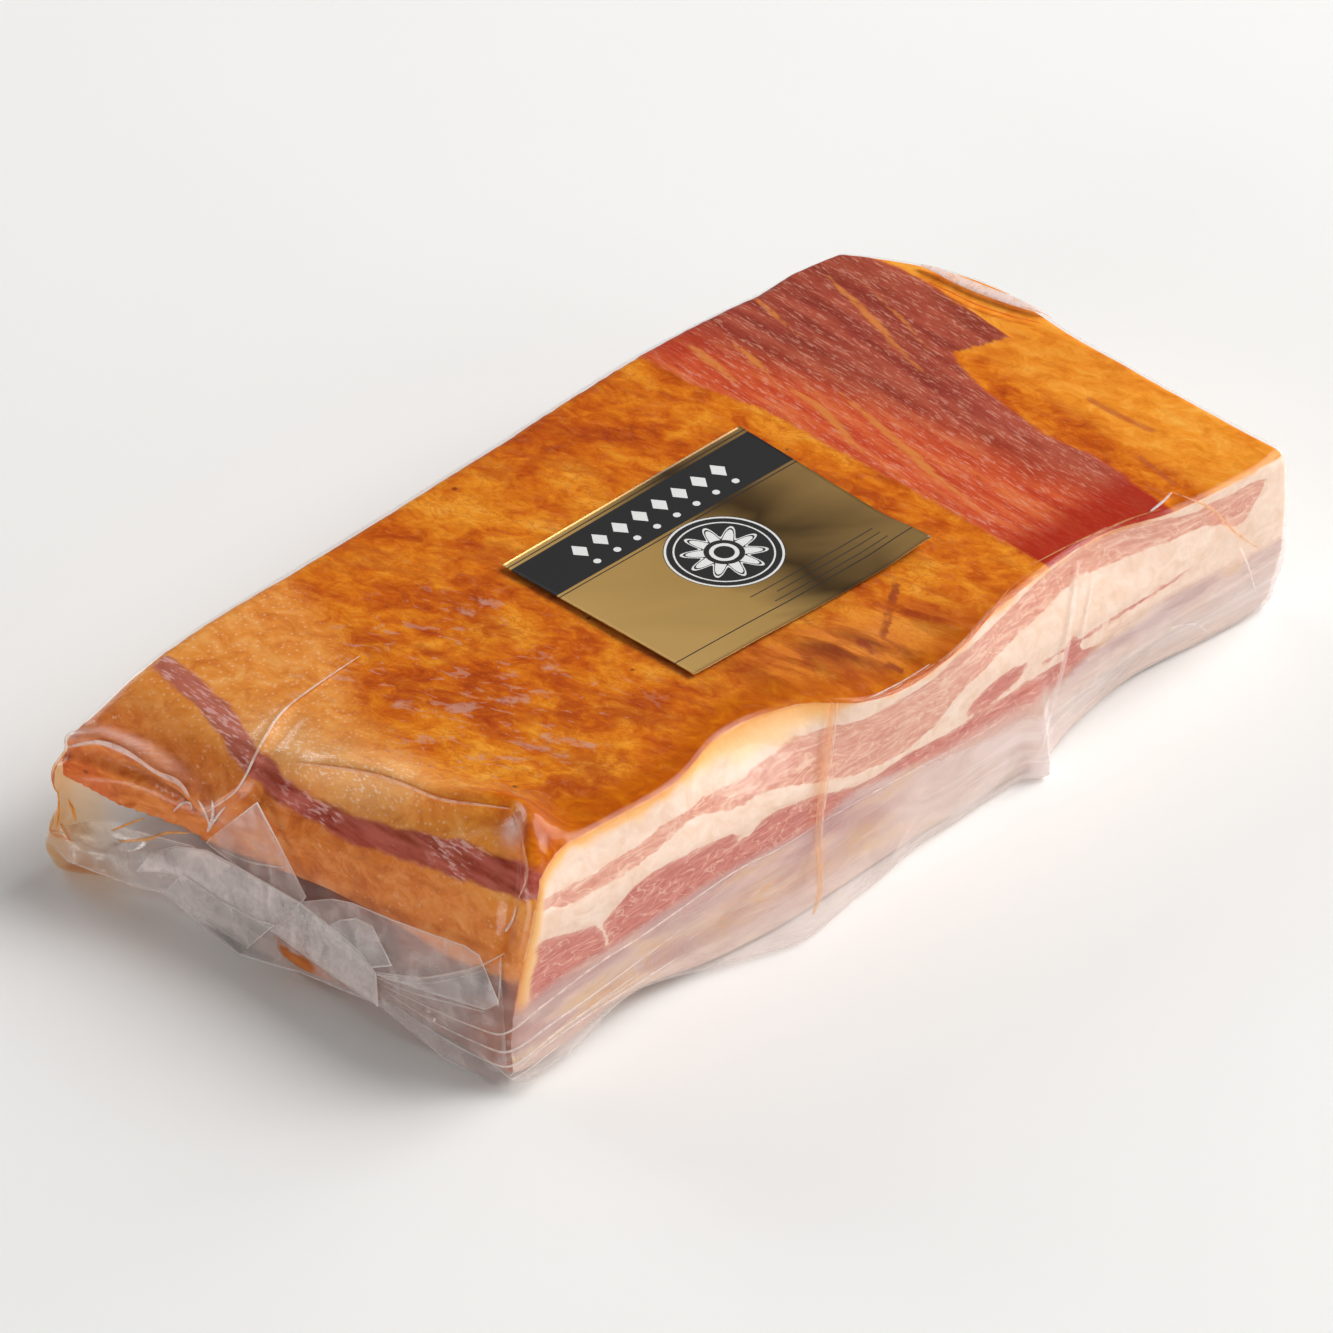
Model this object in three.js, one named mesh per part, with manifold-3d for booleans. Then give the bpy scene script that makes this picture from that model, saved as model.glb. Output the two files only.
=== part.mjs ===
// A block of smoked bacon shrink-wrapped in clear film, with a foil label stuck on top.
// The sealed pack is one solid out to its film: the block, the loose film along its foot,
// and at the left end the diagonal weld of the bag with its folded ears.
// Millimetres, +Z up. X runs along the block, and the cut face looks towards -Y.
import * as THREE from "three";
import { mergeVertices } from "three/addons/utils/BufferGeometryUtils.js";
import Module from "manifold-3d";

// Driving dimensions of the wrapped block
const HEIGHT = 48;
const EDGE_RADIUS = 5;
const CUT_FACE_Y = -64;
const BACK_Y = 65;
const BACK = [[-137, 65], [-100, 64], [-60, 65], [0, 67], [55, 69], [100, 66], [134, 62]];

// The left end slants across the width, from -1 at the cut face to 1 at the back.
// Up the height, from 0 to 1, it leans inwards, at the back with a ridge over a hollow.
const LEFT_END = [[-1, -115], [-0.4, -117.5], [0.2, -120.5], [0.6, -126], [1, -137]];
const LEAN_FRONT = [[0, 0], [0.25, 0], [0.6, 3.5], [0.85, 8], [1, 12]];
const LEAN_BACK = [[0, 2], [0.25, 0], [0.5, 4], [0.8, 3], [1, 9]];
const RIGHT_END_X = 134;
const RIGHT_END_SLANT = -2;
const RIGHT_CORNER_CUT = 17;
const RIGHT_CORNER_FROM = 0.35;

// Relief of the top: how far it droops at the left end, and its gentle twist
const DROOP_BACK = [[-137, 14.5], [-131, 12], [-118, 7.5], [-107, 3], [-92, 0.6], [-74, 0]];
const DROOP_FRONT = [[-120, 8], [-108, 3], [-96, 0.5], [-88, 0]];
const TWIST = 3;
const TWIST_X = 60;
const TWIST_Y = 45;
const LIP = { x: -96, y: -44, rise: 3, long: 15, wide: 7 };
const NOTCH = { x: 6, y: -62, fall: 3.4, long: 17, wide: 12 };

// How far the top of the cut face is drawn in, and how far the loose film at its foot stands out
const TOP_INSET = [
  [-112, 0], [-90, 6], [-60, 6], [-39, 12], [-20, 9], [-6, 1.5], [24, 0.5], [40, 4.5], [77, 8.5], [98, 3], [134, 1],
];
const TOP_INSET_FROM = 0.66;
const SKIRT = [
  [-116, 3.5], [-88, 2], [-66, 0], [-48, 4], [-33, 8], [-14, 5.5], [8, 3.5], [30, 2.5], [48, 2], [66, -3], [88, -6],
  [110, -4.5], [134, -3],
];
const SKIRT_TO = 0.4;
const FOLD = { x: 47, wide: 3.2, rise: 4 };
const FOOT_LIFT = { x: -82, long: 19, rise: 5.5, deep: 13 };

// Mesh of the block: cells along, across and up, crowded towards the edges by this share
const CELLS = [44, 22, 11];
const CROWDING = 0.45;

// Foil label, following the top a hair above it
const LABEL = { x: 8.5, y: -2, width: 75, depth: 61, thick: 0.5, gap: 0.4 };
const LABEL_CELLS = [14, 12];

// Film folded flat on the left end: the bag's weld across it, and two ears over the weld.
// Each lies between a lower and an upper line, given as the place along Y and the height of its two ends.
const WELD = { lower: [[44, 12], [-62, 0.4]], upper: [[44, 21], [-62, 7]], out: 2.2 };
const UPPER_EAR = { lower: [[17, 20], [-12, 14]], upper: [[20, 34], [6, 35]], out: 1.4 };
const TAIL = { lower: [[30, 0.3], [2, 0.3]], upper: [[38, 9], [-8, 8]], out: 5.5 };
const LOWER_EAR = { lower: [[-14, 13], [-59, 5]], upper: [[-19, 23], [-54, 20]], out: 1.4 };
const FILM_CELLS = 10;
const FILM_SINK = 4;

// Rises smoothly from 0 to 1 between two values, which may be given in falling order
function smooth(from, to, value) {
  const share = THREE.MathUtils.clamp((value - from) / (to - from), 0, 1);
  return share * share * (3 - 2 * share);
}

const bump = (offset, reach) => Math.exp(-((offset / reach) ** 2));

// A smooth line through knots of [place, value], level beyond the first and the last
function through(knots, place) {
  const next = knots.findIndex(([at]) => at > place);
  if (next === 0) return knots[0][1];
  if (next < 0) return knots[knots.length - 1][1];
  const slope = (i) => {
    if (i === 0 || i === knots.length - 1) return 0;
    return (knots[i + 1][1] - knots[i - 1][1]) / (knots[i + 1][0] - knots[i - 1][0]);
  };
  const [[x0, y0], [x1, y1]] = [knots[next - 1], knots[next]];
  const span = x1 - x0;
  const share = (place - x0) / span;
  const rest = 1 - share;
  const bend = share * rest * span * (rest * slope(next - 1) - share * slope(next));
  return y0 + (y1 - y0) * smooth(0, 1, share) + bend;
}

// Height of the top of the pack over a point of the plan
function topHeight(x, y) {
  const droop = THREE.MathUtils.lerp(through(DROOP_FRONT, x), through(DROOP_BACK, x), smooth(CUT_FACE_Y, BACK_Y, y));
  const twist = TWIST * Math.tanh(x / TWIST_X) * Math.tanh(y / TWIST_Y);
  const lip = LIP.rise * bump(x - LIP.x, LIP.wide) * bump(y - LIP.y, LIP.long);
  const notch = NOTCH.fall * bump(x - NOTCH.x, NOTCH.long) * bump(y - NOTCH.y, NOTCH.wide);
  return HEIGHT - droop + twist + lip - notch;
}

// The block's foot: flat, but lifted a little where the loose film is drawn up off the table
function footHeight(x, y) {
  return FOOT_LIFT.rise * bump(x - FOOT_LIFT.x, FOOT_LIFT.long) * smooth(CUT_FACE_Y + FOOT_LIFT.deep, CUT_FACE_Y, y);
}

// Where the left end stands, by shares across and up
function leftEnd(across, up) {
  const lean = THREE.MathUtils.lerp(through(LEAN_FRONT, up), through(LEAN_BACK, up), smooth(-0.1, 0.5, across));
  return through(LEFT_END, across) + lean;
}

// Takes a point of a rounded box, by its shares along, across (-1 to 1) and up (0 to 1), to the pack's own form
function shapePoint(along, across, up) {
  const corner = Math.max(0, (across - RIGHT_CORNER_FROM) / (1 - RIGHT_CORNER_FROM)) ** 2;
  const right = RIGHT_END_X + RIGHT_END_SLANT * across - RIGHT_CORNER_CUT * corner;
  const x = THREE.MathUtils.lerp(leftEnd(across, up), right, (along + 1) / 2);
  const inset = through(TOP_INSET, x) * smooth(TOP_INSET_FROM, 1, up);
  const fold = FOLD.rise * bump(x - FOLD.x, FOLD.wide) * smooth(0.75, 0.1, up);
  const skirt = through(SKIRT, x) * smooth(SKIRT_TO, 0.05, up) + fold;
  const front = CUT_FACE_Y + inset - skirt;
  const y = THREE.MathUtils.lerp(front, through(BACK, x), (across + 1) / 2);
  const foot = footHeight(x, y);
  return [x, y, foot + up * (topHeight(x, y) - foot)];
}

const crowd = (share) => (1 - CROWDING) * share + CROWDING * Math.sin((share * Math.PI) / 2);

// Leaves only merged positions, so that every edge has two faces
function closed(geometry) {
  geometry.deleteAttribute("normal");
  geometry.deleteAttribute("uv");
  return mergeVertices(geometry, 1e-4);
}

function blockGeometry() {
  const length = RIGHT_END_X - leftEnd(0, 0.5);
  const half = new THREE.Vector3(length, BACK_Y - CUT_FACE_Y, HEIGHT).multiplyScalar(0.5);
  const core = half.clone().subScalar(EDGE_RADIUS);
  const geometry = closed(new THREE.BoxGeometry(2, 2, 2, ...CELLS));
  const position = geometry.getAttribute("position");
  const point = new THREE.Vector3();
  const inside = new THREE.Vector3();
  for (let i = 0; i < position.count; i += 1) {
    point.fromBufferAttribute(position, i);
    point.set(crowd(point.x), crowd(point.y), crowd(point.z)).multiply(half);
    inside.copy(point).clamp(core.clone().negate(), core);
    point.sub(inside).setLength(EDGE_RADIUS).add(inside).divide(half);
    position.setXYZ(i, ...shapePoint(point.x, point.y, (point.z + 1) / 2));
  }
  return geometry;
}

// Film lying on the left end between two lines, standing out from it and sunk into the block
function filmGeometry({ lower, upper, out }) {
  const geometry = closed(new THREE.BoxGeometry(1, 1, 1, FILM_CELLS, 2, 1));
  const position = geometry.getAttribute("position");
  for (let i = 0; i < position.count; i += 1) {
    const along = position.getX(i) + 0.5;
    const rise = position.getY(i) + 0.5;
    const [y, z] = [0, 1].map((k) => {
      const low = THREE.MathUtils.lerp(lower[0][k], lower[1][k], along);
      const high = THREE.MathUtils.lerp(upper[0][k], upper[1][k], along);
      return THREE.MathUtils.lerp(low, high, rise);
    });
    const across = (2 * (y - CUT_FACE_Y)) / (BACK_Y - CUT_FACE_Y) - 1;
    const depth = position.getZ(i) > 0 ? -out : FILM_SINK;
    position.setXYZ(i, leftEnd(across, z / HEIGHT) + depth, y, z);
  }
  return geometry;
}

function labelGeometry() {
  const geometry = closed(new THREE.BoxGeometry(LABEL.width, LABEL.depth, LABEL.thick, ...LABEL_CELLS, 1));
  const position = geometry.getAttribute("position");
  for (let i = 0; i < position.count; i += 1) {
    const x = LABEL.x + position.getX(i);
    const y = LABEL.y + position.getY(i);
    position.setXYZ(i, x, y, topHeight(x, y) + LABEL.gap + LABEL.thick / 2 + position.getZ(i));
  }
  return geometry;
}

const wasm = await Module();
wasm.setup();

function solid(geometry) {
  const vertProperties = new Float32Array(geometry.getAttribute("position").array);
  const triVerts = new Uint32Array(geometry.index.array);
  return new wasm.Manifold(new wasm.Mesh({ numProp: 3, vertProperties, triVerts }));
}

function geometryOf(manifold) {
  const mesh = manifold.getMesh();
  const geometry = new THREE.BufferGeometry();
  geometry.setAttribute("position", new THREE.BufferAttribute(mesh.vertProperties, 3));
  geometry.setIndex(new THREE.BufferAttribute(mesh.triVerts, 1));
  return geometry;
}

function sealedPack() {
  const film = [WELD, TAIL, UPPER_EAR, LOWER_EAR].map(filmGeometry);
  const joined = film.reduce((whole, sheet) => whole.add(solid(sheet)), solid(blockGeometry()));
  const material = new THREE.MeshStandardMaterial({ color: 0xc9772c, roughness: 0.25, metalness: 0 });
  const mesh = new THREE.Mesh(geometryOf(joined), material);
  mesh.name = "sealed_pack";
  return mesh;
}

function label() {
  const material = new THREE.MeshStandardMaterial({ color: 0xa98a4e, roughness: 0.35, metalness: 0.8 });
  const mesh = new THREE.Mesh(labelGeometry(), material);
  mesh.name = "label";
  return mesh;
}

// The origin is on the table, under the middle of the pack.
const pack = new THREE.Group();
pack.name = "bacon_pack";
pack.add(sealedPack(), label());
const middle = new THREE.Box3().setFromObject(pack).getCenter(new THREE.Vector3());
pack.position.set(-middle.x, -middle.y, 0);

export default pack;
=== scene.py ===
"""Looks of a block of smoked bacon in clear shrink film: the meat, the film round it and the foil label."""
import itertools
import math

import bpy
import numpy as np
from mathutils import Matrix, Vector
from mathutils.bvhtree import BVHTree


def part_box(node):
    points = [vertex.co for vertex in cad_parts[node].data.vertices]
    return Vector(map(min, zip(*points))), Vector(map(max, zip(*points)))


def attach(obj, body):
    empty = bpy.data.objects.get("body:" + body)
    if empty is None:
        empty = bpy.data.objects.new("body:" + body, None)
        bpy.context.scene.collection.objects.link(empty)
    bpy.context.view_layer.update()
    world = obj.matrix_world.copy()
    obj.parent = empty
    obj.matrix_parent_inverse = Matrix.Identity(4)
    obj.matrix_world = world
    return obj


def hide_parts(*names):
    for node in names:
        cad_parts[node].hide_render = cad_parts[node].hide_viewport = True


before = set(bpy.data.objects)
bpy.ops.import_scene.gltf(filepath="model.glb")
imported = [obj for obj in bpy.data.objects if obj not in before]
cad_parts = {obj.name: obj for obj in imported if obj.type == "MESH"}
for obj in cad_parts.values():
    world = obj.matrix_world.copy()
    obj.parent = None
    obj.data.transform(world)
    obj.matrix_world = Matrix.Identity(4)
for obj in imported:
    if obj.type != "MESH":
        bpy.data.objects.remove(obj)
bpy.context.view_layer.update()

MM = 0.001

# Driving dimensions of the wrapped block, in millimetres, as in the solid model
HEIGHT = 48
EDGE_RADIUS = 5
CUT_FACE_Y = -64
BACK_Y = 65
BACK = [(-137, 65), (-100, 64), (-60, 65), (0, 67), (55, 69), (100, 66), (134, 62)]
LEFT_END = [(-1, -115), (-0.4, -117.5), (0.2, -120.5), (0.6, -126), (1, -137)]
LEAN_FRONT = [(0, 0), (0.25, 0), (0.6, 3.5), (0.85, 8), (1, 12)]
LEAN_BACK = [(0, 2), (0.25, 0), (0.5, 4), (0.8, 3), (1, 9)]
RIGHT_END_X = 134
RIGHT_END_SLANT = -2
RIGHT_CORNER_CUT = 17
RIGHT_CORNER_FROM = 0.35
DROOP_BACK = [(-137, 14.5), (-131, 12), (-118, 7.5), (-107, 3), (-92, 0.6), (-74, 0)]
DROOP_FRONT = [(-120, 8), (-108, 3), (-96, 0.5), (-88, 0)]
TWIST = 3
TWIST_X = 60
TWIST_Y = 45
LIP_SWELL = dict(x=-96, y=-44, rise=3, long=15, wide=7)
NOTCH = dict(x=6, y=-62, fall=3.4, long=17, wide=12)
TOP_INSET = [
    (-112, 0), (-90, 6), (-60, 6), (-39, 12), (-20, 9), (-6, 1.5), (24, 0.5), (40, 4.5), (77, 8.5), (98, 3),
    (134, 1),
]
TOP_INSET_FROM = 0.66
SKIRT = [
    (-116, 3.5), (-88, 2), (-66, 0), (-48, 4), (-33, 8), (-14, 5.5), (8, 3.5), (30, 2.5), (48, 2), (66, -3),
    (88, -6), (110, -4.5), (134, -3),
]
SKIRT_TO = 0.4
FOLD = dict(x=47, wide=3.2, rise=4)
FOOT_LIFT = dict(x=-82, long=19, rise=5.5, deep=13)
LABEL = dict(x=8.5, y=-2, width=75, depth=61, thick=0.25, gap=0.35)

# The solid model was centred over its origin, so its label tells how far everything moved.
label_low, label_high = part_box("label")
SHIFT = np.array([
    (label_low[0] + label_high[0]) / 2 / MM - LABEL["x"],
    (label_low[1] + label_high[1]) / 2 / MM - LABEL["y"],
    0,
])

# Camera at the photo's angle. A place given in the photo's pixels is a ray from it.
AZIMUTH = math.radians(-44.517)
ELEVATION = math.radians(36.19)
DISTANCE = 1500
TARGET = np.array([-7, -1.5, 24]) + SHIFT
LENS = 179.93
SENSOR = 36
PHOTO = 1333
BACK_TO_CAMERA = np.array([
    math.sin(AZIMUTH) * math.cos(ELEVATION), -math.cos(AZIMUTH) * math.cos(ELEVATION), math.sin(ELEVATION),
])
EYE = TARGET + BACK_TO_CAMERA * DISTANCE


def make_camera():
    data = bpy.data.cameras.new("camera")
    data.sensor_width = SENSOR
    data.lens = LENS
    camera = bpy.data.objects.new("camera", data)
    camera.location = EYE * MM
    camera.rotation_mode = "QUATERNION"
    camera.rotation_quaternion = Vector(-BACK_TO_CAMERA).to_track_quat("-Z", "Y")
    bpy.context.scene.collection.objects.link(camera)
    bpy.context.scene.camera = camera


def rays(pixels):
    """Directions from the camera through pixels of the photo."""
    right = np.array([math.cos(AZIMUTH), math.sin(AZIMUTH), 0])
    up = np.cross(BACK_TO_CAMERA, right)
    offset = (np.asarray(pixels, float) - PHOTO / 2) * SENSOR / PHOTO / LENS
    way = offset[:, :1] * right - offset[:, 1:] * up - BACK_TO_CAMERA
    return way / np.linalg.norm(way, axis=1, keepdims=True)


def smooth(low, high, value):
    share = np.clip((value - low) / (high - low), 0, 1)
    return share * share * (3 - 2 * share)


def bump(offset, reach):
    return np.exp(-((offset / reach) ** 2))


def through(knots, place):
    """A smooth line through knots of (place, value), level beyond the first and the last."""
    places, values = np.array(knots, float).T
    slopes = np.zeros(len(places))
    slopes[1:-1] = (values[2:] - values[:-2]) / (places[2:] - places[:-2])
    place = np.clip(place, places[0], places[-1])
    i = np.clip(np.searchsorted(places, place, side="right") - 1, 0, len(places) - 2)
    span = places[i + 1] - places[i]
    share = (place - places[i]) / span
    bend = share * (1 - share) * span * ((1 - share) * slopes[i] - share * slopes[i + 1])
    return values[i] + (values[i + 1] - values[i]) * smooth(0, 1, share) + bend


def top_height(x, y):
    back = smooth(CUT_FACE_Y, BACK_Y, y)
    droop = through(DROOP_FRONT, x) * (1 - back) + through(DROOP_BACK, x) * back
    twist = TWIST * np.tanh(x / TWIST_X) * np.tanh(y / TWIST_Y)
    lip = bump(x - LIP_SWELL["x"], LIP_SWELL["wide"]) * bump(y - LIP_SWELL["y"], LIP_SWELL["long"])
    notch = bump(x - NOTCH["x"], NOTCH["long"]) * bump(y - NOTCH["y"], NOTCH["wide"])
    return HEIGHT - droop + twist + LIP_SWELL["rise"] * lip - NOTCH["fall"] * notch


def foot_height(x, y):
    inner = CUT_FACE_Y + FOOT_LIFT["deep"]
    return FOOT_LIFT["rise"] * bump(x - FOOT_LIFT["x"], FOOT_LIFT["long"]) * smooth(inner, CUT_FACE_Y, y)


def left_end(across, up):
    back = smooth(-0.1, 0.5, across)
    return through(LEFT_END, across) + through(LEAN_FRONT, up) * (1 - back) + through(LEAN_BACK, up) * back


def shape_points(share, loose=1.0):
    """Takes points of a rounded box to the pack's form, by shares along and across (-1 to 1) and up (0 to 1).

    loose is how much of the film that hangs off the foot of the cut face is taken in."""
    along, across, up = share.T
    corner = np.maximum(0, (across - RIGHT_CORNER_FROM) / (1 - RIGHT_CORNER_FROM)) ** 2
    right = RIGHT_END_X + RIGHT_END_SLANT * across - RIGHT_CORNER_CUT * corner
    left = left_end(across, up)
    x = left + (right - left) * (along + 1) / 2
    inset = through(TOP_INSET, x) * smooth(TOP_INSET_FROM, 1, up)
    fold = FOLD["rise"] * bump(x - FOLD["x"], FOLD["wide"]) * smooth(0.75, 0.1, up)
    skirt = through(SKIRT, x) * smooth(SKIRT_TO, 0.05, up)
    skirt = np.where(skirt > 0, skirt * loose, skirt) + fold * loose
    front = CUT_FACE_Y + inset - skirt
    y = front + (through(BACK, x) - front) * (across + 1) / 2
    foot = foot_height(x, y)
    return np.stack([x, y, foot + up * (top_height(x, y) - foot)], 1)


# Noise of the builder's own, so that each run gives the same bumps
NOISE_SEED = 20261128
NOISE_CELLS = 64
NOISE_TABLE = np.random.default_rng(NOISE_SEED).random((NOISE_CELLS,) * 3) * 2 - 1


def noise(points, size):
    """Smooth noise from -1 to 1 with lumps of about the given size, one number or one for each axis."""
    place = np.asarray(points) / np.asarray(size, float) + 1000.5
    whole = np.floor(place).astype(int)
    rest = place - whole
    rest = rest * rest * (3 - 2 * rest)
    total = np.zeros(len(place))
    for step in itertools.product((0, 1), repeat=3):
        weight = np.prod(np.where(step, rest, 1 - rest), axis=1)
        corner = (whole + step) % NOISE_CELLS
        total += weight * NOISE_TABLE[tuple(corner.T)]
    return total


def fractal(points, size, layers=3):
    size = np.asarray(size, float)
    total = sum(noise(points, size / 2**k) / 2**k for k in range(layers))
    return total / (2 - 2.0 ** (1 - layers))


def box_surface(cells):
    """Points of a cube's surface from -1 to 1, shared along its edges, and its faces turned outwards."""
    faces = []
    for axis in range(3):
        u, v = (axis + 1) % 3, (axis + 2) % 3
        a, b = np.meshgrid(np.arange(cells[u]), np.arange(cells[v]), indexing="ij")
        for side in (0, 1):
            corners = []
            for du, dv in ((0, 0), (1, 0), (1, 1), (0, 1)):
                point = np.zeros(a.shape + (3,), int)
                point[..., axis] = side * cells[axis]
                point[..., u] = a + du
                point[..., v] = b + dv
                corners.append(point.reshape(-1, 3))
            if side == 0:
                corners.reverse()
            faces.append(np.stack(corners, 1))
    faces = np.concatenate(faces)
    keys, merged = np.unique(faces.reshape(-1, 3), axis=0, return_inverse=True)
    return keys / np.array(cells) * 2 - 1, merged.reshape(-1, 4)


# How far the mesh's points crowd towards the edges of the block
CROWDING = 0.3


def rounded_block(cells, loose, cut_radius):
    """The block's surface: its points on a plain box, half that box, their places in the pack, and the faces.

    The edges of the cut faces have a smaller radius than the others."""
    share, faces = box_surface(cells)
    share = (1 - CROWDING) * share + CROWDING * np.sin(share * np.pi / 2)
    half = np.array([RIGHT_END_X - left_end(0, 0.5), BACK_Y - CUT_FACE_Y, HEIGHT]) / 2
    plain = share * half
    x, y = plain[:, 0], plain[:, 1]
    soft = np.maximum(smooth(-50, -25, y) * smooth(112, 96, x), smooth(-106, -122, x))
    soft = np.maximum(soft, smooth(110, 126, x) * smooth(30, 0, y))
    radius = (cut_radius + (EDGE_RADIUS - cut_radius) * soft)[:, None]
    core = half - radius
    inside = np.clip(plain, -core, core)
    away = plain - inside
    away *= radius / np.linalg.norm(away, axis=1, keepdims=True)
    round_share = (inside + away) / half
    round_share[:, 2] = (round_share[:, 2] + 1) / 2
    return plain, half, shape_points(round_share, loose), faces


def normals_of(points, faces):
    a, b, c, d = (points[faces[:, k]] for k in range(4))
    face_normal = np.cross(c - a, d - b)
    normal = np.zeros_like(points)
    for k in range(4):
        np.add.at(normal, faces[:, k], face_normal)
    return normal / np.maximum(np.linalg.norm(normal, axis=1, keepdims=True), 1e-9)


def line_distance(points, line):
    """Distance from points to a line of straight pieces, and each nearest place's share of the way along."""
    line = np.asarray(line, float)
    best = np.full(len(points), 1e9)
    place = np.zeros(len(points))
    for k, (a, b) in enumerate(zip(line[:-1], line[1:])):
        share = np.clip(((points - a) @ (b - a)) / ((b - a) @ (b - a)), 0, 1)
        distance = np.linalg.norm(points - a - share[:, None] * (b - a), axis=1)
        nearer = distance < best
        best = np.where(nearer, distance, best)
        place = np.where(nearer, (k + share) / (len(line) - 1), place)
    return best, place


def off_line(points, line):
    return line_distance(points, line)[0]


def make_object(name, points, faces, material, attributes=None, uv=None, shift=True):
    """A smooth mesh object from points in millimetres."""
    mesh = bpy.data.meshes.new(name)
    placed = (np.asarray(points, float) + (SHIFT if shift else 0)) * MM
    mesh.from_pydata(placed.tolist(), [], faces if isinstance(faces, list) else faces.tolist())
    mesh.materials.append(material)
    for key, values in (attributes or {}).items():
        layer = mesh.attributes.new(key, "FLOAT", "POINT")
        layer.data.foreach_set("value", np.asarray(values, np.float32))
    if uv is not None:
        layer = mesh.uv_layers.new(name="UVMap")
        loops = np.zeros(len(mesh.loops), np.int32)
        mesh.loops.foreach_get("vertex_index", loops)
        layer.data.foreach_set("uv", np.asarray(uv, np.float32)[loops].ravel())
    mesh.shade_smooth()
    piece = bpy.data.objects.new(name, mesh)
    bpy.context.scene.collection.objects.link(piece)
    return piece


# Shader helpers

def colour(*screen):
    """A colour given as it looks on a screen, red, green and blue from 0 to 255, as linear numbers."""
    parts = [c / 255 for c in screen]
    return (*(c / 12.92 if c <= 0.0404 else ((c + 0.055) / 1.055) ** 2.4 for c in parts), 1)


class Value:
    """A shader value. Sums, differences and products of it add math nodes."""

    def __init__(self, look, socket):
        self.look = look
        self.socket = socket

    def __add__(self, other):
        return self.look.math("ADD", self, other)

    def __sub__(self, other):
        return self.look.math("SUBTRACT", self, other)

    def __rsub__(self, other):
        return self.look.math("SUBTRACT", other, self)

    def __mul__(self, other):
        return self.look.math("MULTIPLY", self, other)

    def __abs__(self):
        return self.look.math("ABSOLUTE", self)

    __radd__ = __add__
    __rmul__ = __mul__


class Look:
    """A material under construction. Its methods add nodes and return their values.

    look["name"] is the mesh's field of that name. Colours are given as they look on a screen, 0 to 255."""

    def __init__(self, name):
        self.material = bpy.data.materials.new(name)
        self.material.use_nodes = True
        self.tree = self.material.node_tree
        self.tree.nodes.clear()
        self.place = self.add("TexCoord", output="Object")

    def add(self, kind, *values, output=0, settings=None, **inputs):
        """Adds a node, with its first inputs given in order and others by name."""
        node = self.tree.nodes.new("ShaderNode" + kind)
        for key, value in (settings or {}).items():
            setattr(node, key, value)
        for socket, value in zip(node.inputs, values):
            self.set(socket, value)
        for key, value in inputs.items():
            self.set(node.inputs[key.replace("_", " ")], value)
        return Value(self, node.outputs[output])

    def set(self, socket, value):
        if isinstance(value, Value):
            self.tree.links.new(value.socket, socket)
        else:
            socket.default_value = colour(*value) if socket.type == "RGBA" else value

    def __getitem__(self, name):
        return self.add("Attribute", output="Fac", settings={"attribute_name": name})

    def scaled(self, size, turn):
        """Object coordinates in units of size, turned about the vertical."""
        size = size if isinstance(size, tuple) else (size,) * 3
        turned = self.add("Mapping", Vector=self.place, Rotation=(0, 0, turn))
        return self.add("Mapping", Vector=turned, Scale=tuple(1 / (s * MM) for s in size))

    def noise(self, size, turn=0.0, detail=3.0, roughness=0.5, distortion=0.0):
        """Noise from 0 to 1 with lumps of about size millimetres, one number or one for each axis."""
        return self.add(
            "TexNoise", output="Fac", Vector=self.scaled(size, turn), Scale=1.0, Detail=detail,
            Roughness=roughness, Distortion=distortion,
        )

    def cells(self, size):
        return self.add("TexVoronoi", output="Distance", Vector=self.scaled(size, 0.0), Scale=1.0)

    def math(self, operation, a, b=0.0, clamp=False):
        return self.add("Math", a, b, settings={"operation": operation, "use_clamp": clamp})

    def largest(self, first, *others):
        for other in others:
            first = self.math("MAXIMUM", first, other)
        return first

    def step(self, value, low, high):
        """0 below low, 1 above high, smooth between. low may be the larger, which turns it round."""
        turned = low > high
        return self.add(
            "MapRange", settings={"interpolation_type": "SMOOTHSTEP"}, Value=value, From_Min=min(low, high),
            From_Max=max(low, high), To_Min=float(turned), To_Max=float(not turned),
        )

    def ragged(self, name, noise_out, amount, low, high):
        """The step of a field of distances whose edge is made uneven by noise."""
        return self.step(self[name] + amount * (noise_out - 0.5), low, high)

    def mix(self, share, first, second):
        return self.add("MixRGB", share, first, second)

    def ramp(self, value, stops):
        """Colours along a value, from a dict of places and colours."""
        node = self.add("ValToRGB", value).socket.node
        elements = node.color_ramp.elements
        while len(elements) < len(stops):
            elements.new(0.5)
        for element, (position, shade) in zip(elements, stops.items()):
            element.position = position
            element.color = colour(*shade)
        return Value(self, node.outputs[0])

    def blend(self, share, first, second):
        """A mix of two shaders."""
        return self.add("MixShader", share, first, second)

    def bump(self, height, distance, strength, **normal):
        return self.add("Bump", Height=height, Distance=distance * MM, Strength=strength, **normal)

    def finish(self, shader):
        output = self.tree.nodes.new("ShaderNodeOutputMaterial")
        self.set(output.inputs["Surface"], shader)
        return self.material


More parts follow.
